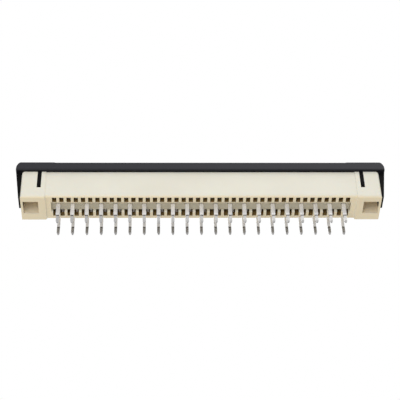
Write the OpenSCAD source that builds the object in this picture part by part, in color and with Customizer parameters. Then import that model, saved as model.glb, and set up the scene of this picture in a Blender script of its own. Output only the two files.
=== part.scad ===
// Top-entry cable connector with a locking slider, for flat flexible cable.
// X runs along the row of contacts, -Y is the front wall and +Z is the side
// where the cable goes in. Z = 0 is the face that seats on the circuit board,
// and the origin is at its centre. The leads go down through the board.

/* [Row of contacts] */
// Number of contacts, an even number
contact_n = 42; // [10:2:44]
// Distance between neighbouring contacts
pitch = 1.0; // [0.9:0.05:1.4]
// Thickness of the sheet that the contacts are stamped from
sheet_t = 0.25; // [0.16:0.01:0.3]
// Height of a contact's base strip
base_h = 0.55; // [0.4:0.05:0.7]
// Width of the fixed arm at its tip
fixed_arm_w = 0.45; // [0.35:0.05:0.6]
// Width of the spring arm
spring_arm_w = 0.32; // [0.25:0.01:0.4]

/* [Leads] */
// Width of a lead
lead_w = 0.4; // [0.3:0.02:0.46]
// Width of a front lead above its kink
shank_w = 0.54; // [0.46:0.02:0.6]
// Length of a lead below the board's face
lead_l = 3.1; // [2.6:0.1:5]
// Distance between the two rows of leads
row_gap = 2.5; // [2.3:0.05:2.7]
// Length of the lead's end, below its kink
lead_end_l = 1.35; // [0.8:0.05:1.6]
// Sideways shift of the lead at its kink
kink = 0.12; // [0.05:0.01:0.2]

/* [Housing] */
// From the last contact's centre to the housing's end
end_l = 4.7; // [4.4:0.1:7]
// Depth of the housing, front to back
body_d = 4.8; // [4.6:0.1:6.5]
// Height of the housing above the board
body_h = 4.8; // [4.2:0.1:7]
// Height of the middle's underside above the board
standoff = 0.2; // [0.1:0.05:0.4]
// Length of each end block
ear_l = 3.4; // [3:0.1:4]
// How far the front and back panels lie behind the end blocks
panel_step = 0.1; // [0.05:0.01:0.2]
// Radius of the housing's lower front edge
edge_r = 0.35; // [0.1:0.05:0.4]
// Radius of the housing's lower back edge
back_edge_r = 0.12; // [0.05:0.01:0.3]
// Radius of the housing's two upper corners
top_corner_r = 0.45; // [0.2:0.05:0.8]
// Thickness of the roof over the contact channels
roof_t = 0.55; // [0.4:0.05:0.9]
// Thickness of the floor that the contacts stand on
floor_t = 0.4; // [0.3:0.05:0.6]
// Width of the moulded channel of each contact
channel_w = 0.6; // [0.45:0.05:0.65]
// Front-to-back length of a contact channel
channel_d = 0.95; // [0.8:0.05:1]
// Strip between the front and back channels
core_d = 1.85; // [1.6:0.05:1.9]
// Depth of the shallow trough along the underside
trough_h = 0.4; // [0.2:0.05:0.45]

/* [Cable] */
// Thickness of the cable's stiffened end
cable_t = 0.3; // [0.2:0.01:0.35]
// Room beside and behind the cable
cable_clear = 0.05; // [0.03:0.01:0.1]

/* [Slider] */
// How far the slider lifts to free the cable
travel = 1.2; // [0.8:0.1:1.3]
// Height of the slider's bar in the middle
bar_h = 1.4; // [1:0.1:2.5]
// Extra height of the bar's two ends
bar_end_rise = 0.18; // [0:0.02:0.4]
// Length of the bar's raised ends
bar_end_l = 5; // [3:0.5:6]
// Overhang of the bar in front of the housing
bar_lip = 0.35; // [0.1:0.05:0.8]
// Sideways reach of the round at the bar's upper corners
bar_corner_r = 0.9; // [0.3:0.1:1.2]
// Height of that round
bar_corner_h = 1.3; // [0.3:0.1:1.4]
// Thickness of the tongue that presses on the cable
tongue_t = 0.5; // [0.4:0.05:0.5]
// Thickness of a side arm at its root
arm_root_t = 0.8; // [0.5:0.05:1.2]
// Thickness of a side arm at its foot
arm_foot_t = 0.22; // [0.2:0.02:0.5]
// Width of a side arm
arm_w = 2.3; // [1.8:0.1:2.4]
// Reach of a side arm's catch into the end block
catch_reach = 0.32; // [0.2:0.02:0.5]
// Height of a side arm's catch
catch_h = 0.5; // [0.3:0.05:0.7]
// Width of a guide finger
finger_w = 0.48; // [0.3:0.02:0.6]
// Length of a guide finger
finger_l = 2.6; // [2:0.1:3]
// Running clearance between slider and housing
run_clear = 0.05; // [0.03:0.01:0.08]

/* [Hidden] */
seat_clear = 0.03;
tiny = 0.01;
number_names = [for (i = [1 : contact_n]) str("contact_", i < 10 ? "0" : "", i)];

row_l = (contact_n - 1) * pitch;
half_l = row_l / 2 + end_l;
ear_x = half_l - ear_l;
half_d = body_d / 2;
panel_d = half_d - panel_step;

// The strip between the channels lies a little in front of the centre.
core_y = -0.1;
core_front = core_y - core_d / 2;
core_back = core_y + core_d / 2;
channel_front = core_front - channel_d;
channel_back = core_back + channel_d;
channel_top = body_h - roof_t;

// The back leads lie flush in notches of the back panel.
row_b_y = panel_d - sheet_t / 2;
row_a_y = row_b_y - row_gap;

// A contact's slot is just wider than its sheet, and its base stands on the floor.
slot_w = sheet_t + 2 * seat_clear;
trough_top = standoff + trough_h;
base_z = trough_top + floor_t;
base_top = base_z + base_h;
arm_top = channel_top - 0.15;
tail_h = 0.8 * base_h;
point_l = 0.3;
tab_clear = 0.05;

// The cable and the tongue share one cavity, the cable behind the tongue.
cavity_half_l = row_l / 2 + pitch / 2 + cable_clear;
cavity_w = tongue_t + cable_t + 3 * cable_clear;
cavity_front = core_y - cavity_w / 2;
cavity_back = core_y + cavity_w / 2;
cavity_floor = base_top + cable_clear;
tongue_front = cavity_front + cable_clear;
tongue_back = tongue_front + tongue_t;
cable_back = tongue_back + cable_clear + cable_t;

// A pocket in each end block takes the catch of a side arm, above a low rim.
pocket_l = 2.15;
pocket_d = 2.4;
rim_t = 0.3;
rim_h = 0.25;
arm_foot_z = 0.15;
arm_front = -half_d + 0.2;
arm_back = arm_front + arm_w;
catch_l = 1.4;
catch_front = arm_back - catch_l;
catch_z = rim_h + run_clear;
pocket_front = catch_front - run_clear;
pocket_back = pocket_front + pocket_d;
pocket_top = catch_z + catch_h + travel + run_clear;

// Guide fingers run in slots in the front of the end blocks.
finger_inset = 2.5;
slot_end_l = 0.4;
finger_x = half_l - finger_inset;
finger_d = 0.7;
finger_slot_l = finger_l + slot_end_l;

bar_z = body_h + run_clear;
bar_top = bar_z + bar_h;
bar_front = -half_d - bar_lip;
bar_half_l = half_l + run_clear + arm_root_t;

cream = [0.89, 0.87, 0.80];
black = [0.16, 0.16, 0.18];
tin = [0.78, 0.78, 0.76];

function arc(c, r, a0, a1, n = 5) =
    [for (i = [0 : n]) c + r * [cos(a0 + (a1 - a0) * i / n), sin(a0 + (a1 - a0) * i / n)]];
function oval(c, rx, rz, n = 8) =
    [for (i = [0 : n]) c + [rx * cos(90 * i / n), rz * sin(90 * i / n)]];
function contact_x(i) = (i - (contact_n - 1) / 2) * pitch;
function pair_x(k) = (contact_x(2 * k) + contact_x(2 * k + 1)) / 2;

// A YZ outline extruded along X, and an XZ outline extruded along Y.
module along_x(x0, x1) translate([x0, 0, 0]) rotate([90, 0, 90]) linear_extrude(x1 - x0) children();
module along_y(y0, y1) translate([0, y1, 0]) rotate([90, 0, 0]) linear_extrude(y1 - y0) children();
module box(from, to) translate(from) cube(to - from);
module both_ends() {
    children();
    mirror([1, 0, 0]) children();
}

// ---------- housing ----------

module wall_outline(front, bottom, top) {
    polygon(concat(
        arc([-front + edge_r, bottom + edge_r], edge_r, 180, 270),
        arc([front - back_edge_r, bottom + back_edge_r], back_edge_r, 270, 360, 3),
        [[front, top], [-front, top]]));
}

module end_block_plan() {
    front_r = 0.3;
    back_r = 0.15;
    polygon(concat(
        [[ear_x, half_d], [ear_x, -half_d]],
        arc([half_l - front_r, -half_d + front_r], front_r, -90, 0),
        arc([half_l - back_r, half_d - back_r], back_r, 0, 90, 3)));
}

module end_block() {
    r = top_corner_r;
    intersection() {
        linear_extrude(body_h) end_block_plan();
        along_x(ear_x, half_l) wall_outline(half_d, 0, body_h);
        along_y(-half_d, half_d)
            polygon(concat([[0, body_h], [0, 0], [half_l, 0]], arc([half_l - r, body_h - r], r, 0, 90)));
    }
}

// A hollow curve leads from the end block's foot up to the higher underside.
module foot_shoulder() {
    r = 2 * standoff;
    along_y(-panel_d + edge_r, panel_d - back_edge_r)
        polygon(concat(
            [[ear_x + tiny, r], [ear_x + tiny, tiny]],
            arc([ear_x - r, standoff - r], r, 30, 90, 4),
            [[ear_x - r, r]]));
}

// The trough's front side is a gentle slope and its back side is steep.
module trough() {
    front_y = core_front - 0.1;
    slope_l = 0.85;
    back_run = 0.18;
    along_x(-row_l / 2 - pitch / 2, row_l / 2 + pitch / 2)
        polygon([[front_y, standoff - tiny], [front_y + slope_l, trough_top],
                 [core_back, trough_top], [core_back + back_run, standoff - tiny]]);
}

module cable_cavity() {
    lead_in = 0.25;
    box([-cavity_half_l, cavity_front, cavity_floor], [cavity_half_l, cavity_back, body_h + 1]);
    along_x(-cavity_half_l - lead_in, cavity_half_l + lead_in)
        polygon([[cavity_front, body_h - lead_in], [cavity_back, body_h - lead_in],
                 [cavity_back + lead_in, body_h + tiny], [cavity_front - lead_in, body_h + tiny]]);
}

module contact_channel() {
    box([-channel_w / 2, channel_front, -1], [channel_w / 2, core_front, channel_top]);
    box([-channel_w / 2, core_back, -1], [channel_w / 2, channel_back, channel_top]);
    along_x(-slot_w / 2, slot_w / 2)
        polygon([[core_front - tiny, base_z - seat_clear], [core_back + tiny, base_z - seat_clear],
                 [core_back + tiny, channel_top], [cavity_back - tiny, channel_top],
                 [cavity_back - tiny, base_top + seat_clear], [cavity_front + tiny, base_top + seat_clear],
                 [cavity_front + tiny, channel_top], [core_front - tiny, channel_top]]);
}

// The front lead of a pair passes through the floor, its tab open to the cavity above.
module front_lead_cut() {
    half_t = sheet_t / 2 + tab_clear;
    half_w = shank_w / 2 + tab_clear;
    box([-half_w, row_a_y - half_t, -1], [half_w, row_a_y + half_t, cavity_floor + tiny]);
    box([-pitch / 2, row_a_y - half_t, base_z - seat_clear], [0, row_a_y + half_t, cavity_floor + tiny]);
}

// The back lead of a pair lies in a notch, and its tail in a slot of the back wall.
module back_lead_cut() {
    notch_y = row_b_y - sheet_t / 2 - tab_clear;
    half_w = lead_w / 2 + tab_clear;
    top = base_z + tail_h + tab_clear;
    box([-half_w, notch_y, -1], [half_w, half_d + 1, top]);
    box([0, notch_y, base_z - seat_clear], [pitch / 2 + slot_w / 2, half_d + 1, top]);
    box([pitch / 2 - slot_w / 2, channel_back - tiny, base_z - seat_clear],
        [pitch / 2 + slot_w / 2, half_d + 1, top]);
}

// The catch comes in over the rim at the pocket's outer side.
module end_pocket() {
    box([half_l - rim_t - pocket_l, pocket_front, -1], [half_l - rim_t, pocket_back, pocket_top]);
    box([half_l - rim_t - tiny, pocket_front, rim_h], [half_l + 1, arm_back + run_clear, pocket_top]);
}

module finger_slot() {
    half_w = finger_w / 2 + run_clear;
    box([finger_x - half_w, -half_d - 1, body_h - finger_slot_l],
        [finger_x + half_w, -half_d + finger_d + run_clear, body_h + 1]);
}

module housing() {
    color(cream) difference() {
        union() {
            along_x(-ear_x, ear_x) wall_outline(panel_d, standoff, body_h);
            both_ends() end_block();
            both_ends() foot_shoulder();
        }
        trough();
        cable_cavity();
        for (i = [0 : contact_n - 1]) translate([contact_x(i), 0, 0]) contact_channel();
        for (k = [0 : contact_n / 2 - 1]) translate([pair_x(k), 0, 0]) {
            front_lead_cut();
            back_lead_cut();
        }
        both_ends() end_pocket();
        both_ends() finger_slot();
    }
}

// ---------- slider ----------

module bar_front_outline() {
    top = bar_top + bar_end_rise;
    step = bar_half_l - bar_end_l;
    ramp_l = 0.5;
    right = concat(
        [[bar_half_l, bar_z]],
        oval([bar_half_l - bar_corner_r, top - bar_corner_h], bar_corner_r, bar_corner_h),
        [[step, top], [step - ramp_l, bar_top]]);
    polygon(concat(right, [for (i = [len(right) - 1 : -1 : 0]) [-right[i][0], right[i][1]]]));
}

module bar_side_outline() {
    r = 0.2;
    chamfer = 0.1;
    top = bar_top + bar_end_rise;
    polygon(concat(
        [[bar_front, bar_z + chamfer], [bar_front + chamfer, bar_z], [half_d, bar_z]],
        arc([half_d - r, top - r], r, 0, 90),
        arc([bar_front + r, top - r], r, 90, 180)));
}

module cable_slot() {
    lead_in = 0.3;
    gap_back = cable_back + cable_clear;
    box([-cavity_half_l, tongue_back, bar_z - 1], [cavity_half_l, gap_back, bar_top + 1]);
    along_x(-cavity_half_l - lead_in, cavity_half_l + lead_in)
        polygon([[tongue_back, bar_top - lead_in], [gap_back, bar_top - lead_in],
                 [gap_back + 1.5 * lead_in, bar_top + tiny], [tongue_back - lead_in, bar_top + tiny]]);
}

module tongue() {
    tip_z = cavity_floor + 0.3;
    taper = 0.25;
    along_x(-cavity_half_l + run_clear, cavity_half_l - run_clear)
        polygon([[tongue_front, bar_z + tiny], [tongue_front, tip_z],
                 [tongue_back - taper, tip_z], [tongue_back, tip_z + 2 * taper],
                 [tongue_back, bar_z + tiny]]);
}

module side_arm() {
    inner = half_l + run_clear;
    tip_x = half_l - catch_reach;
    lead_in = 0.15;
    r = top_corner_r;
    along_y(arm_front, arm_back)
        polygon(concat(
            [[half_l - r, bar_z + tiny]],
            arc([half_l - r, body_h - r], r + run_clear, 90, 0),
            [[inner, arm_foot_z], [inner + arm_foot_t, arm_foot_z], [inner + arm_root_t, bar_z + tiny]]));
    along_y(catch_front, arm_back)
        polygon([[inner + tiny, catch_z], [tip_x + lead_in, catch_z], [tip_x, catch_z + lead_in],
                 [tip_x, catch_z + catch_h], [inner + tiny, catch_z + catch_h]]);
}

module guide_finger() {
    tip_z = body_h - finger_l;
    chamfer = 0.15;
    along_x(finger_x - finger_w / 2, finger_x + finger_w / 2)
        polygon([[-half_d, bar_z + tiny], [-half_d, tip_z + chamfer], [-half_d + chamfer, tip_z],
                 [-half_d + finger_d, tip_z], [-half_d + finger_d, bar_z + tiny]]);
}

module slider() {
    color(black) {
        difference() {
            intersection() {
                along_y(bar_front, half_d) bar_front_outline();
                along_x(-bar_half_l, bar_half_l) bar_side_outline();
            }
            cable_slot();
        }
        tongue();
        both_ends() side_arm();
        both_ends() guide_finger();
    }
}

// ---------- contacts ----------

// The fork's outline: a stiff arm in front and a spring arm behind, which bows
// in to touch the cable and turns away again at its tip.
module fork_outline() {
    side_clear = 0.02;
    heel_r = 0.4;
    toe_r = 0.3;
    root_r = 0.25;
    tip_r = 0.15;
    touch_r = 0.1;
    foot_front = core_front - 0.35;
    foot_back = core_back + 0.45;
    tip_y = cavity_front - 0.06;
    spring_back = core_back + 0.4;
    spring_front = spring_back - spring_arm_w;
    spring_z = base_top + 0.9;
    touch_y = tongue_back + cable_clear + 0.12;
    touch_z = base_top + (arm_top - base_top) * 0.72;
    flare = 0.18;
    polygon(concat(
        [[core_front + side_clear, base_z], [core_back - side_clear, base_z],
         [core_back, base_z + side_clear]],
        arc([foot_back - heel_r, base_z + heel_r + side_clear], heel_r, 290, 360, 4),
        [[spring_back, spring_z], [touch_y + spring_arm_w, touch_z],
         [touch_y + spring_arm_w + flare, arm_top], [touch_y + flare, arm_top]],
        arc([touch_y + touch_r, touch_z], touch_r, 150, 210, 3),
        [[spring_front, spring_z]],
        arc([spring_front - touch_r - root_r, base_top + root_r], root_r, 0, -90, 3),
        arc([core_front + side_clear + root_r, base_top + root_r], root_r, 270, 180, 3),
        [[tip_y - touch_r, touch_z], [tip_y, arm_top - 2 * tip_r]],
        arc([tip_y - tip_r, arm_top - tip_r], tip_r, 0, 90, 3),
        arc([tip_y - fixed_arm_w + tip_r, arm_top - tip_r], tip_r, 90, 180, 3),
        arc([foot_front + toe_r, base_z + base_h], toe_r, 180, 250, 3)));
}

// The tail carries a back lead from the fork's foot through the back wall.
module tail_outline() {
    polygon([[core_back - 0.1, base_z], [row_b_y + sheet_t / 2, base_z],
             [row_b_y + sheet_t / 2, base_z + tail_h], [core_back - 0.1, base_z + tail_h]]);
}

// The lead from the side: straight, then stepped over at the kink, then a blunt point.
module lead_side_outline(y, top) {
    half_t = sheet_t / 2;
    kink_z = -lead_l + lead_end_l;
    kink_run = 0.25;
    end_y = y - kink;
    polygon([[y - half_t, top], [y - half_t, kink_z + kink_run / 2], [end_y - half_t, kink_z - kink_run / 2],
             [end_y - half_t, -lead_l + point_l], [end_y - half_t / 2, -lead_l],
             [end_y + half_t / 2, -lead_l], [end_y + half_t, -lead_l + point_l],
             [end_y + half_t, kink_z - kink_run / 2], [y + half_t, kink_z + kink_run / 2], [y + half_t, top]]);
}

// The lead from the front: a tab reaches sideways from the fork, and a rounded
// outer corner turns down into the shank, which narrows to the lead at the kink.
module lead_front_outline(reach, width, top) {
    side = sign(reach);
    half_w = lead_w / 2;
    half_shank = width / 2;
    shoulder_z = -lead_l + lead_end_l + 0.1;
    shoulder_h = 0.15;
    bend_r = 0.25;
    corner = arc([half_shank - bend_r, top - bend_r], bend_r, 0, 90, 4);
    polygon(concat(
        [[0, top], [0, base_z], [reach - side * half_shank, base_z],
         [reach - side * half_shank, shoulder_z + shoulder_h], [reach - side * half_w, shoulder_z],
         [reach - side * half_w, -lead_l + point_l], [reach - side * half_w / 2, -lead_l],
         [reach + side * half_w / 2, -lead_l], [reach + side * half_w, -lead_l + point_l],
         [reach + side * half_w, shoulder_z], [reach + side * half_shank, shoulder_z + shoulder_h]],
        [for (p = corner) [reach + side * p[0], p[1]]]));
}

// Odd contacts lead down in the front row and even ones in the back row.
module contact(i) {
    front_row = i % 2 == 0;
    y = front_row ? row_a_y : row_b_y;
    top = front_row ? base_top : base_z + tail_h;
    reach = front_row ? pitch / 2 : -pitch / 2;
    width = front_row ? shank_w : lead_w + tiny;
    color(tin) translate([contact_x(i), 0, 0]) {
        along_x(-sheet_t / 2, sheet_t / 2) {
            fork_outline();
            if (!front_row) tail_outline();
        }
        intersection() {
            along_x(-pitch, pitch) lead_side_outline(y, top);
            along_y(-body_d, body_d) lead_front_outline(reach, width, top);
        }
    }
}

housing();
slider();
for (i = [0 : contact_n - 1]) contact(i);
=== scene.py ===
# Looks of a top-entry cable connector: moulded housing, locking slider and stamped contacts.
import math
import bpy
from mathutils import Matrix, Vector


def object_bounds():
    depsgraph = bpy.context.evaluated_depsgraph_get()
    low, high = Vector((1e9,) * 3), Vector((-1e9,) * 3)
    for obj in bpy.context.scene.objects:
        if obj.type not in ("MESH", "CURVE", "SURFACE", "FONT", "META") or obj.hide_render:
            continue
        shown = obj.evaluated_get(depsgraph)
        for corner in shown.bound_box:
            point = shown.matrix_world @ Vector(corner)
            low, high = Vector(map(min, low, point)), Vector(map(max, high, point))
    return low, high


mm = 0.001

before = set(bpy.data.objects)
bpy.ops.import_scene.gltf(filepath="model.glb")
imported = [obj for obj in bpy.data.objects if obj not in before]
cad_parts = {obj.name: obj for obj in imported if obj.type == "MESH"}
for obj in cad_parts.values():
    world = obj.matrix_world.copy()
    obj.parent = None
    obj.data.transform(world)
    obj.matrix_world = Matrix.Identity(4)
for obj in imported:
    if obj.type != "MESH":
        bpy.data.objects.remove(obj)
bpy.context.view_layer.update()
scene = bpy.context.scene


def newMaterial(name):
    material = bpy.data.materials.new(name)
    material.use_nodes = True
    tree = material.node_tree
    shader = next(node for node in tree.nodes if node.type == "BSDF_PRINCIPLED")
    return material, tree, shader


def addNode(tree, kind, settings=None, inputs=None):
    node = tree.nodes.new(kind)
    for key, value in (settings or {}).items():
        setattr(node, key, value)
    for key, value in (inputs or {}).items():
        if isinstance(value, bpy.types.NodeSocket):
            tree.links.new(value, node.inputs[key])
        else:
            node.inputs[key].default_value = value
    return node


def mathOf(tree, operation, first, second=0.0):
    return addNode(tree, "ShaderNodeMath", {"operation": operation}, {0: first, 1: second}).outputs[0]


def noiseAt(tree, scale, detail, stretch=(1, 1, 1)):
    coords = addNode(tree, "ShaderNodeTexCoord")
    mapping = addNode(tree, "ShaderNodeMapping",
                      inputs={"Vector": coords.outputs["Object"], "Scale": stretch})
    inputs = {"Vector": mapping.outputs[0], "Scale": scale, "Detail": detail}
    return addNode(tree, "ShaderNodeTexNoise", inputs=inputs).outputs[0]


def blend(tree, factor, low, high):
    # A Mix node's two colours are its inputs 6 and 7, and the mixed colour is its output 2.
    colors = {slot: value if isinstance(value, bpy.types.NodeSocket) else (*value, 1)
              for slot, value in ((6, low), (7, high))}
    return addNode(tree, "ShaderNodeMix", {"data_type": "RGBA"}, {0: factor, **colors}).outputs[2]


def rangeOf(tree, value, low, high, start=0.0, end=1.0):
    node = addNode(tree, "ShaderNodeMapRange", inputs={0: value, 1: start, 2: end, 3: low, 4: high})
    return node.outputs[0]


def axesOf(tree, output):
    coords = addNode(tree, "ShaderNodeTexCoord")
    return addNode(tree, "ShaderNodeSeparateXYZ", inputs={0: coords.outputs[output]}).outputs


def within(tree, value, low, high, soft):
    # One inside low..high and zero outside, with a soft border.
    rise = rangeOf(tree, value, 0, 1, low - soft, low + soft)
    fall = rangeOf(tree, value, 1, 0, high - soft, high + soft)
    return mathOf(tree, "MULTIPLY", rise, fall)


def dress(tree, shader, look, color, grain):
    # The grain moves the roughness and lifts the surface a little.
    bump = addNode(tree, "ShaderNodeBump",
                   inputs={"Height": grain, "Distance": look["grainHeight"], "Strength": look["bump"]})
    tree.links.new(color, shader.inputs["Base Color"])
    tree.links.new(rangeOf(tree, grain, *look["roughness"]), shader.inputs["Roughness"])
    tree.links.new(bump.outputs[0], shader.inputs["Normal"])


creamPlastic = {
    "light": (0.775, 0.75, 0.645),
    "dark": (0.745, 0.715, 0.61),
    # Painted shade: a warmer tint for downward-facing faces.
    "undersideShade": (0.86, 0.74, 0.515),
    # Painted shade: colour of the trough's roof at its top.
    "trough": (0.48, 0.43, 0.315),
    # Painted shade: dark brown inside the holes and channels.
    "holeShade": (0.22, 0.14, 0.045),
    # Painted shade inside the end blocks' recesses.
    "pocket": (0.74, 0.62, 0.43),
    "glow": (1.0, 0.72, 0.42),
    "glowDepth": 0.25 * mm,
    "glowShare": 0.15,
    "roughness": (0.42, 0.56),
    "cloudScale": 180,
    "cloudDetail": 4,
    "cloudRange": (0.35, 0.65),
    "grainScale": 9000,
    "grainDetail": 2,
    "grainHeight": 0.004 * mm,
    "bump": 0.5,
    "facingDown": (-0.9, -0.3),
    "facingSide": (0.2, 0.3),
    "rowHalf": 21.0 * mm,
    "holeFront": -2.05 * mm,
    "holeBack": 1.85 * mm,
    "undersideZ": 0.2 * mm,
    "troughZ": 0.6 * mm,
    "holeTop": 2.4 * mm,
    "holeEnd": 3.6 * mm,
    "pocketInner": 22.74 * mm,
    "pocketOuter": 24.91 * mm,
    "pocketFront": -1.36 * mm,
    "pocketBack": 1.06 * mm,
    "pocketTop": 2.06 * mm,
    "border": 0.02 * mm,
}


def makeCream():
    look = creamPlastic
    material, tree, shader = newMaterial("creamPlastic")
    cloud = rangeOf(tree, noiseAt(tree, look["cloudScale"], look["cloudDetail"]), 0, 1, *look["cloudRange"])
    grain = noiseAt(tree, look["grainScale"], look["grainDetail"])
    x, y, z = axesOf(tree, "Object")
    facing = axesOf(tree, "Normal")[2]
    soft = look["border"]
    underside = look["undersideZ"]
    trough = look["troughZ"]
    row = mathOf(tree, "MULTIPLY",
                 within(tree, x, -look["rowHalf"], look["rowHalf"], soft),
                 within(tree, y, look["holeFront"], look["holeBack"], soft))
    # Painted shade: downward-facing faces get a warmer tint, and the trough's roof is painted darker the
    # higher it lies.
    downShade = rangeOf(tree, facing, 1, 0, *look["facingDown"])
    troughShade = rangeOf(tree, z, 0, 1, underside + 2 * soft, trough)
    # Painted shade: the channels' walls, and whatever lies above the trough, are painted dark brown for the
    # shade far inside the holes.
    upright = rangeOf(tree, mathOf(tree, "ABSOLUTE", facing), 1, 0, *look["facingSide"])
    steep = mathOf(tree, "MULTIPLY", upright, rangeOf(tree, z, 0, 1, underside, underside + 5 * soft))
    above = rangeOf(tree, z, 0, 1, trough + soft, trough + 3 * soft)
    fade = rangeOf(tree, z, 1, 0, look["holeTop"], look["holeEnd"])
    holeShadeMask = mathOf(tree, "MULTIPLY", mathOf(tree, "MAXIMUM", steep, above), row)
    holeShadeMask = mathOf(tree, "MULTIPLY", holeShadeMask, fade)
    # Painted shade: the inside of each end block's recess is painted yellower and darker.
    pocket = mathOf(tree, "MULTIPLY",
                    within(tree, mathOf(tree, "ABSOLUTE", x), look["pocketInner"], look["pocketOuter"], soft),
                    within(tree, y, look["pocketFront"], look["pocketBack"], soft))
    pocket = mathOf(tree, "MULTIPLY", pocket, within(tree, z, 2 * soft, look["pocketTop"], soft))
    color = blend(tree, cloud, look["dark"], look["light"])
    color = blend(tree, downShade, color, look["undersideShade"])
    color = blend(tree, pocket, color, look["pocket"])
    color = blend(tree, mathOf(tree, "MULTIPLY", troughShade, row), color, look["trough"])
    color = blend(tree, holeShadeMask, color, look["holeShade"])
    dress(tree, shader, look, color, grain)
    shader.inputs["Subsurface Weight"].default_value = look["glowShare"]
    shader.inputs["Subsurface Radius"].default_value = look["glow"]
    shader.inputs["Subsurface Scale"].default_value = look["glowDepth"]
    return material


blackPlastic = {
    "bar": (0.013, 0.013, 0.018),
    # Painted shade: colour for the parts below the bar.
    "shadedArms": (0.004, 0.004, 0.004),
    "shine": (0.04, 0.26),
    "shineFrom": 4.6 * mm,
    "shineTo": 5.2 * mm,
    "roughness": (0.40, 0.52),
    "grainScale": 7000,
    "grainDetail": 2,
    "grainHeight": 0.006 * mm,
    "bump": 0.5,
}


def makeBlack():
    look = blackPlastic
    material, tree, shader = newMaterial("blackPlastic")
    grain = noiseAt(tree, look["grainScale"], look["grainDetail"])
    z = axesOf(tree, "Object")[2]
    # Painted shade: everything below the bar gets a darker colour and a weaker specular.
    lit = rangeOf(tree, z, 0, 1, look["shineFrom"], look["shineTo"])
    tree.links.new(rangeOf(tree, lit, *look["shine"]), shader.inputs["Specular IOR Level"])
    dress(tree, shader, look, blend(tree, lit, look["shadedArms"], look["bar"]), grain)
    return material


tinnedMetal = {
    "shank": (0.86, 0.85, 0.85),
    "end": (0.42, 0.415, 0.41),
    # Painted shade: a dark band at the lead's kink.
    "kinkShade": (0.06, 0.055, 0.05),
    "metal": (0.35, 0.9),
    "ringLow": -1.90 * mm,
    "ringHigh": -1.62 * mm,
    "ringSoft": 0.05 * mm,
    "roughness": (0.24, 0.40),
    "cloudScale": 1500,
    "cloudDetail": 3,
    "cloudStretch": (1, 1, 0.3),
    "cloudRange": (0.35, 0.65),
    "cloudShare": 0.25,
    "grainScale": 14000,
    "grainDetail": 2,
    "grainStretch": (1, 1, 0.15),
    "grainHeight": 0.002 * mm,
    "bump": 0.4,
}


def makeTin():
    look = tinnedMetal
    material, tree, shader = newMaterial("tinnedMetal")
    cloud = noiseAt(tree, look["cloudScale"], look["cloudDetail"], look["cloudStretch"])
    grain = noiseAt(tree, look["grainScale"], look["grainDetail"], look["grainStretch"])
    z = axesOf(tree, "Object")[2]
    below = rangeOf(tree, z, 1, 0, look["ringLow"], look["ringHigh"])
    # Painted shade: a dark band round each lead at its kink.
    kinkShade = within(tree, z, look["ringLow"], look["ringHigh"], look["ringSoft"])
    color = blend(tree, below, look["shank"], look["end"])
    patches = rangeOf(tree, cloud, 0, look["cloudShare"], *look["cloudRange"])
    color = blend(tree, patches, color, look["end"])
    color = blend(tree, kinkShade, color, look["kinkShade"])
    tree.links.new(rangeOf(tree, below, *look["metal"]), shader.inputs["Metallic"])
    dress(tree, shader, look, color, grain)
    return material


def paint(node, material):
    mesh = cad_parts[node].data
    mesh.materials.clear()
    mesh.materials.append(material)


cream = makeCream()
black = makeBlack()
tin = makeTin()
paint("housing", cream)
paint("slider", black)
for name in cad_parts:
    if name.startswith("contact_"):
        paint(name, tin)
print("materials done")


# The camera looks up at the board face from in front of and below the part.
camera = {
    "elevation": -42.7,
    "azimuth": -2.5,
    "roll": -1.72,
    "distance": 188 * mm,
    "target": (-0.16 * mm, 0, 1.59 * mm),
    "lens": 120.0,
    "sensor": 36.0,
    "clip": (0.01, 10.0),
}


def makeCamera():
    elevation = math.radians(camera["elevation"])
    azimuth = math.radians(camera["azimuth"])
    roll = math.radians(camera["roll"])
    back = Vector((math.sin(azimuth) * math.cos(elevation), -math.cos(azimuth) * math.cos(elevation),
                   math.sin(elevation)))
    right = (-back).cross(Vector((0, 0, 1))).normalized()
    up = right.cross(-back)
    turnedRight = right * math.cos(roll) + up * math.sin(roll)
    turnedUp = up * math.cos(roll) - right * math.sin(roll)
    data = bpy.data.cameras.new("camera")
    data.lens = camera["lens"]
    data.sensor_width = camera["sensor"]
    data.clip_start, data.clip_end = camera["clip"]
    eye = bpy.data.objects.new("camera", data)
    axes = Matrix((turnedRight, turnedUp, back)).transposed().to_4x4()
    eye.matrix_world = Matrix.Translation(Vector(camera["target"]) + back * camera["distance"]) @ axes
    scene.collection.objects.link(eye)
    scene.camera = eye


makeCamera()


studio = {
    "floorSize": 0.8,
    "floorColor": (0.86, 0.86, 0.86),
    "ambient": 0.58,
    "lamps": [
        # name, place in mm, size in mm, watts
        ("frontBelow", (-60, -220, -120), 180, 0.28),
        ("frontAbove", (90, -160, 260), 220, 0.22),
        ("backAbove", (-120, 220, 240), 220, 0.18),
    ],
}


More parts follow.
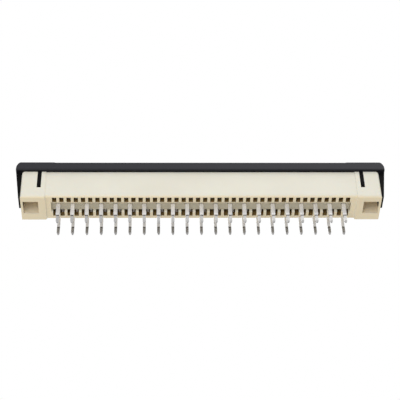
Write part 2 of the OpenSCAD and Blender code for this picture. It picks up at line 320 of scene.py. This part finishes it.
def makeFloor():
    half = studio["floorSize"] / 2
    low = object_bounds()[0].z
    mesh = bpy.data.meshes.new("floor")
    mesh.from_pydata([(-half, -half, low), (half, -half, low), (half, half, low), (-half, half, low)], [],
                     [(0, 1, 2, 3)])
    floor = bpy.data.objects.new("floor", mesh)
    scene.collection.objects.link(floor)
    material = bpy.data.materials.new("floor")
    material.use_nodes = True
    tree = material.node_tree
    tree.nodes.clear()
    # The floor shows only to the camera and only from above, because the camera stands below it.
    path = addNode(tree, "ShaderNodeLightPath")
    side = addNode(tree, "ShaderNodeNewGeometry")
    facing = mathOf(tree, "SUBTRACT", 1.0, side.outputs["Backfacing"])
    shown = mathOf(tree, "MULTIPLY", path.outputs["Is Camera Ray"], facing)
    clear = addNode(tree, "ShaderNodeBsdfTransparent")
    paper = addNode(tree, "ShaderNodeBsdfDiffuse", inputs={"Color": (*studio["floorColor"], 1)})
    mix = addNode(tree, "ShaderNodeMixShader",
                  inputs={0: shown, 1: clear.outputs[0], 2: paper.outputs[0]})
    out = addNode(tree, "ShaderNodeOutputMaterial")
    tree.links.new(mix.outputs[0], out.inputs[0])
    mesh.materials.append(material)


def makeLamps():
    for name, place, size, watts in studio["lamps"]:
        data = bpy.data.lights.new(name, "AREA")
        data.shape = "DISK"
        data.size = size * mm
        data.energy = watts
        lamp = bpy.data.objects.new(name, data)
        lamp.location = Vector(place) * mm
        lamp.rotation_mode = "QUATERNION"
        lamp.rotation_quaternion = lamp.location.to_track_quat("Z", "Y")
        scene.collection.objects.link(lamp)


def makeWorld():
    world = bpy.data.worlds.new("world")
    world.use_nodes = True
    scene.world = world
    tree = world.node_tree
    tree.nodes.clear()
    path = addNode(tree, "ShaderNodeLightPath")
    seen = mathOf(tree, "ADD", path.outputs["Is Camera Ray"], path.outputs["Is Glossy Ray"])
    seenAll = addNode(tree, "ShaderNodeMath", {"operation": "ADD", "use_clamp": True},
                      {0: seen, 1: path.outputs["Is Transmission Ray"]})
    white = addNode(tree, "ShaderNodeBackground", inputs={"Color": (1, 1, 1, 1), "Strength": 1.0})
    soft = addNode(tree, "ShaderNodeBackground",
                   inputs={"Color": (1, 1, 1, 1), "Strength": studio["ambient"]})
    mix = addNode(tree, "ShaderNodeMixShader",
                  inputs={0: seenAll.outputs[0], 1: soft.outputs[0], 2: white.outputs[0]})
    out = addNode(tree, "ShaderNodeOutputWorld")
    tree.links.new(mix.outputs[0], out.inputs[0])


makeFloor()
makeLamps()
makeWorld()
scene.view_settings.view_transform = "Standard"
print("studio done")
